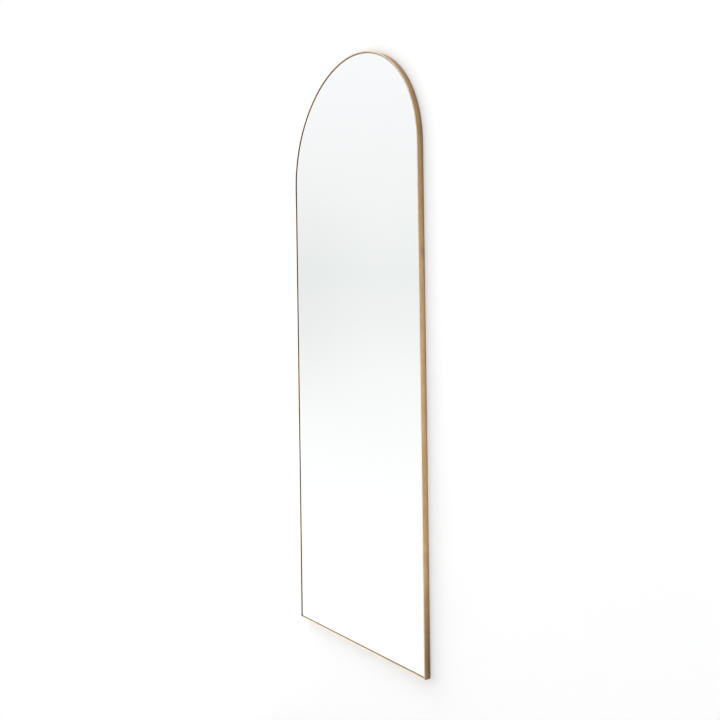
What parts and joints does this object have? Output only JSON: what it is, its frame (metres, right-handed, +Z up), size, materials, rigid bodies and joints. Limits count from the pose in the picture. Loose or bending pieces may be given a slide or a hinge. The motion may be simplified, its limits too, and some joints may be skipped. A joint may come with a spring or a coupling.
{
  "type": "wall mirror",
  "caption": "Tall arched wall mirror in a thin mitred metal bar frame, backed by a board and hung from folded strap hangers with swinging D-rings.",
  "frame": {"origin": "on the wall, midway between the two wall hooks, at the height where the D-rings bear on them", "axes": "+X to the right seen from the front, +Y from the room into the wall, +Z up"},
  "size_m": [0.762, 0.0215, 2.0318],
  "materials": {
    "frame": "aged, lightly brushed brass",
    "pane": "silvered, ground edges",
    "film": "woven-look safety backing film",
    "tape": "closed-cell foam",
    "shim": "moulded, matt",
    "board": "fibreboard, matt black paint",
    "clip": "zinc plated",
    "gusset": "zinc plated",
    "screw": "zinc plated",
    "rail": "black powder coat",
    "strap": "nickel plated",
    "ring": "nickel plated",
    "bumper": "moulded, matt"
  },
  "bodies": {
    "root": {"frame_hoop": "frame", "frame_sill": "frame", "mirror_pane": "pane", "safety_film": "film", "backboard": "board", "corner_gusset_left": "gusset", "corner_gusset_right": "gusset", "board_screws": "screw", "hanger_rail": "rail", "ring_strap_left": "strap", "ring_strap_right": "strap", "strap_screws": "screw", "bumper_screws": "screw", "board_clip_left_1": "clip", "board_clip_left_2": "clip", "board_clip_left_3": "clip", "board_clip_right_1": "clip", "board_clip_right_2": "clip", "board_clip_right_3": "clip", "board_clip_arch_1": "clip", "board_clip_arch_2": "clip", "board_clip_arch_3": "clip", "board_clip_sill_1": "clip", "board_clip_sill_2": "clip", "bonding_tape_1": "tape", "bonding_tape_2": "tape", "bonding_tape_3": "tape", "bonding_tape_4": "tape", "setting_shim_left": "shim", "setting_shim_right": "shim", "edge_shim_left_1": "shim", "edge_shim_left_2": "shim", "edge_shim_right_1": "shim", "edge_shim_right_2": "shim", "wall_bumper_lower_left": "bumper", "wall_bumper_lower_right": "bumper", "wall_bumper_upper_left": "bumper", "wall_bumper_upper_right": "bumper"},
    "ring_left": {"d_ring_left": "ring"},
    "ring_right": {"d_ring_right": "ring"}
  },
  "joints": [
    {"name": "left_ring_swing", "type": "hinge", "parent": "root", "child": "ring_left", "pos_m": [-0.2032, -0.00405, -0.0144], "axis": [-1, 0, 0], "range_deg": [0, 173]},
    {"name": "right_ring_swing", "type": "hinge", "parent": "root", "child": "ring_right", "pos_m": [0.2032, -0.00405, -0.0144], "axis": [-1, 0, 0], "range_deg": [0, 173]}
  ]
}
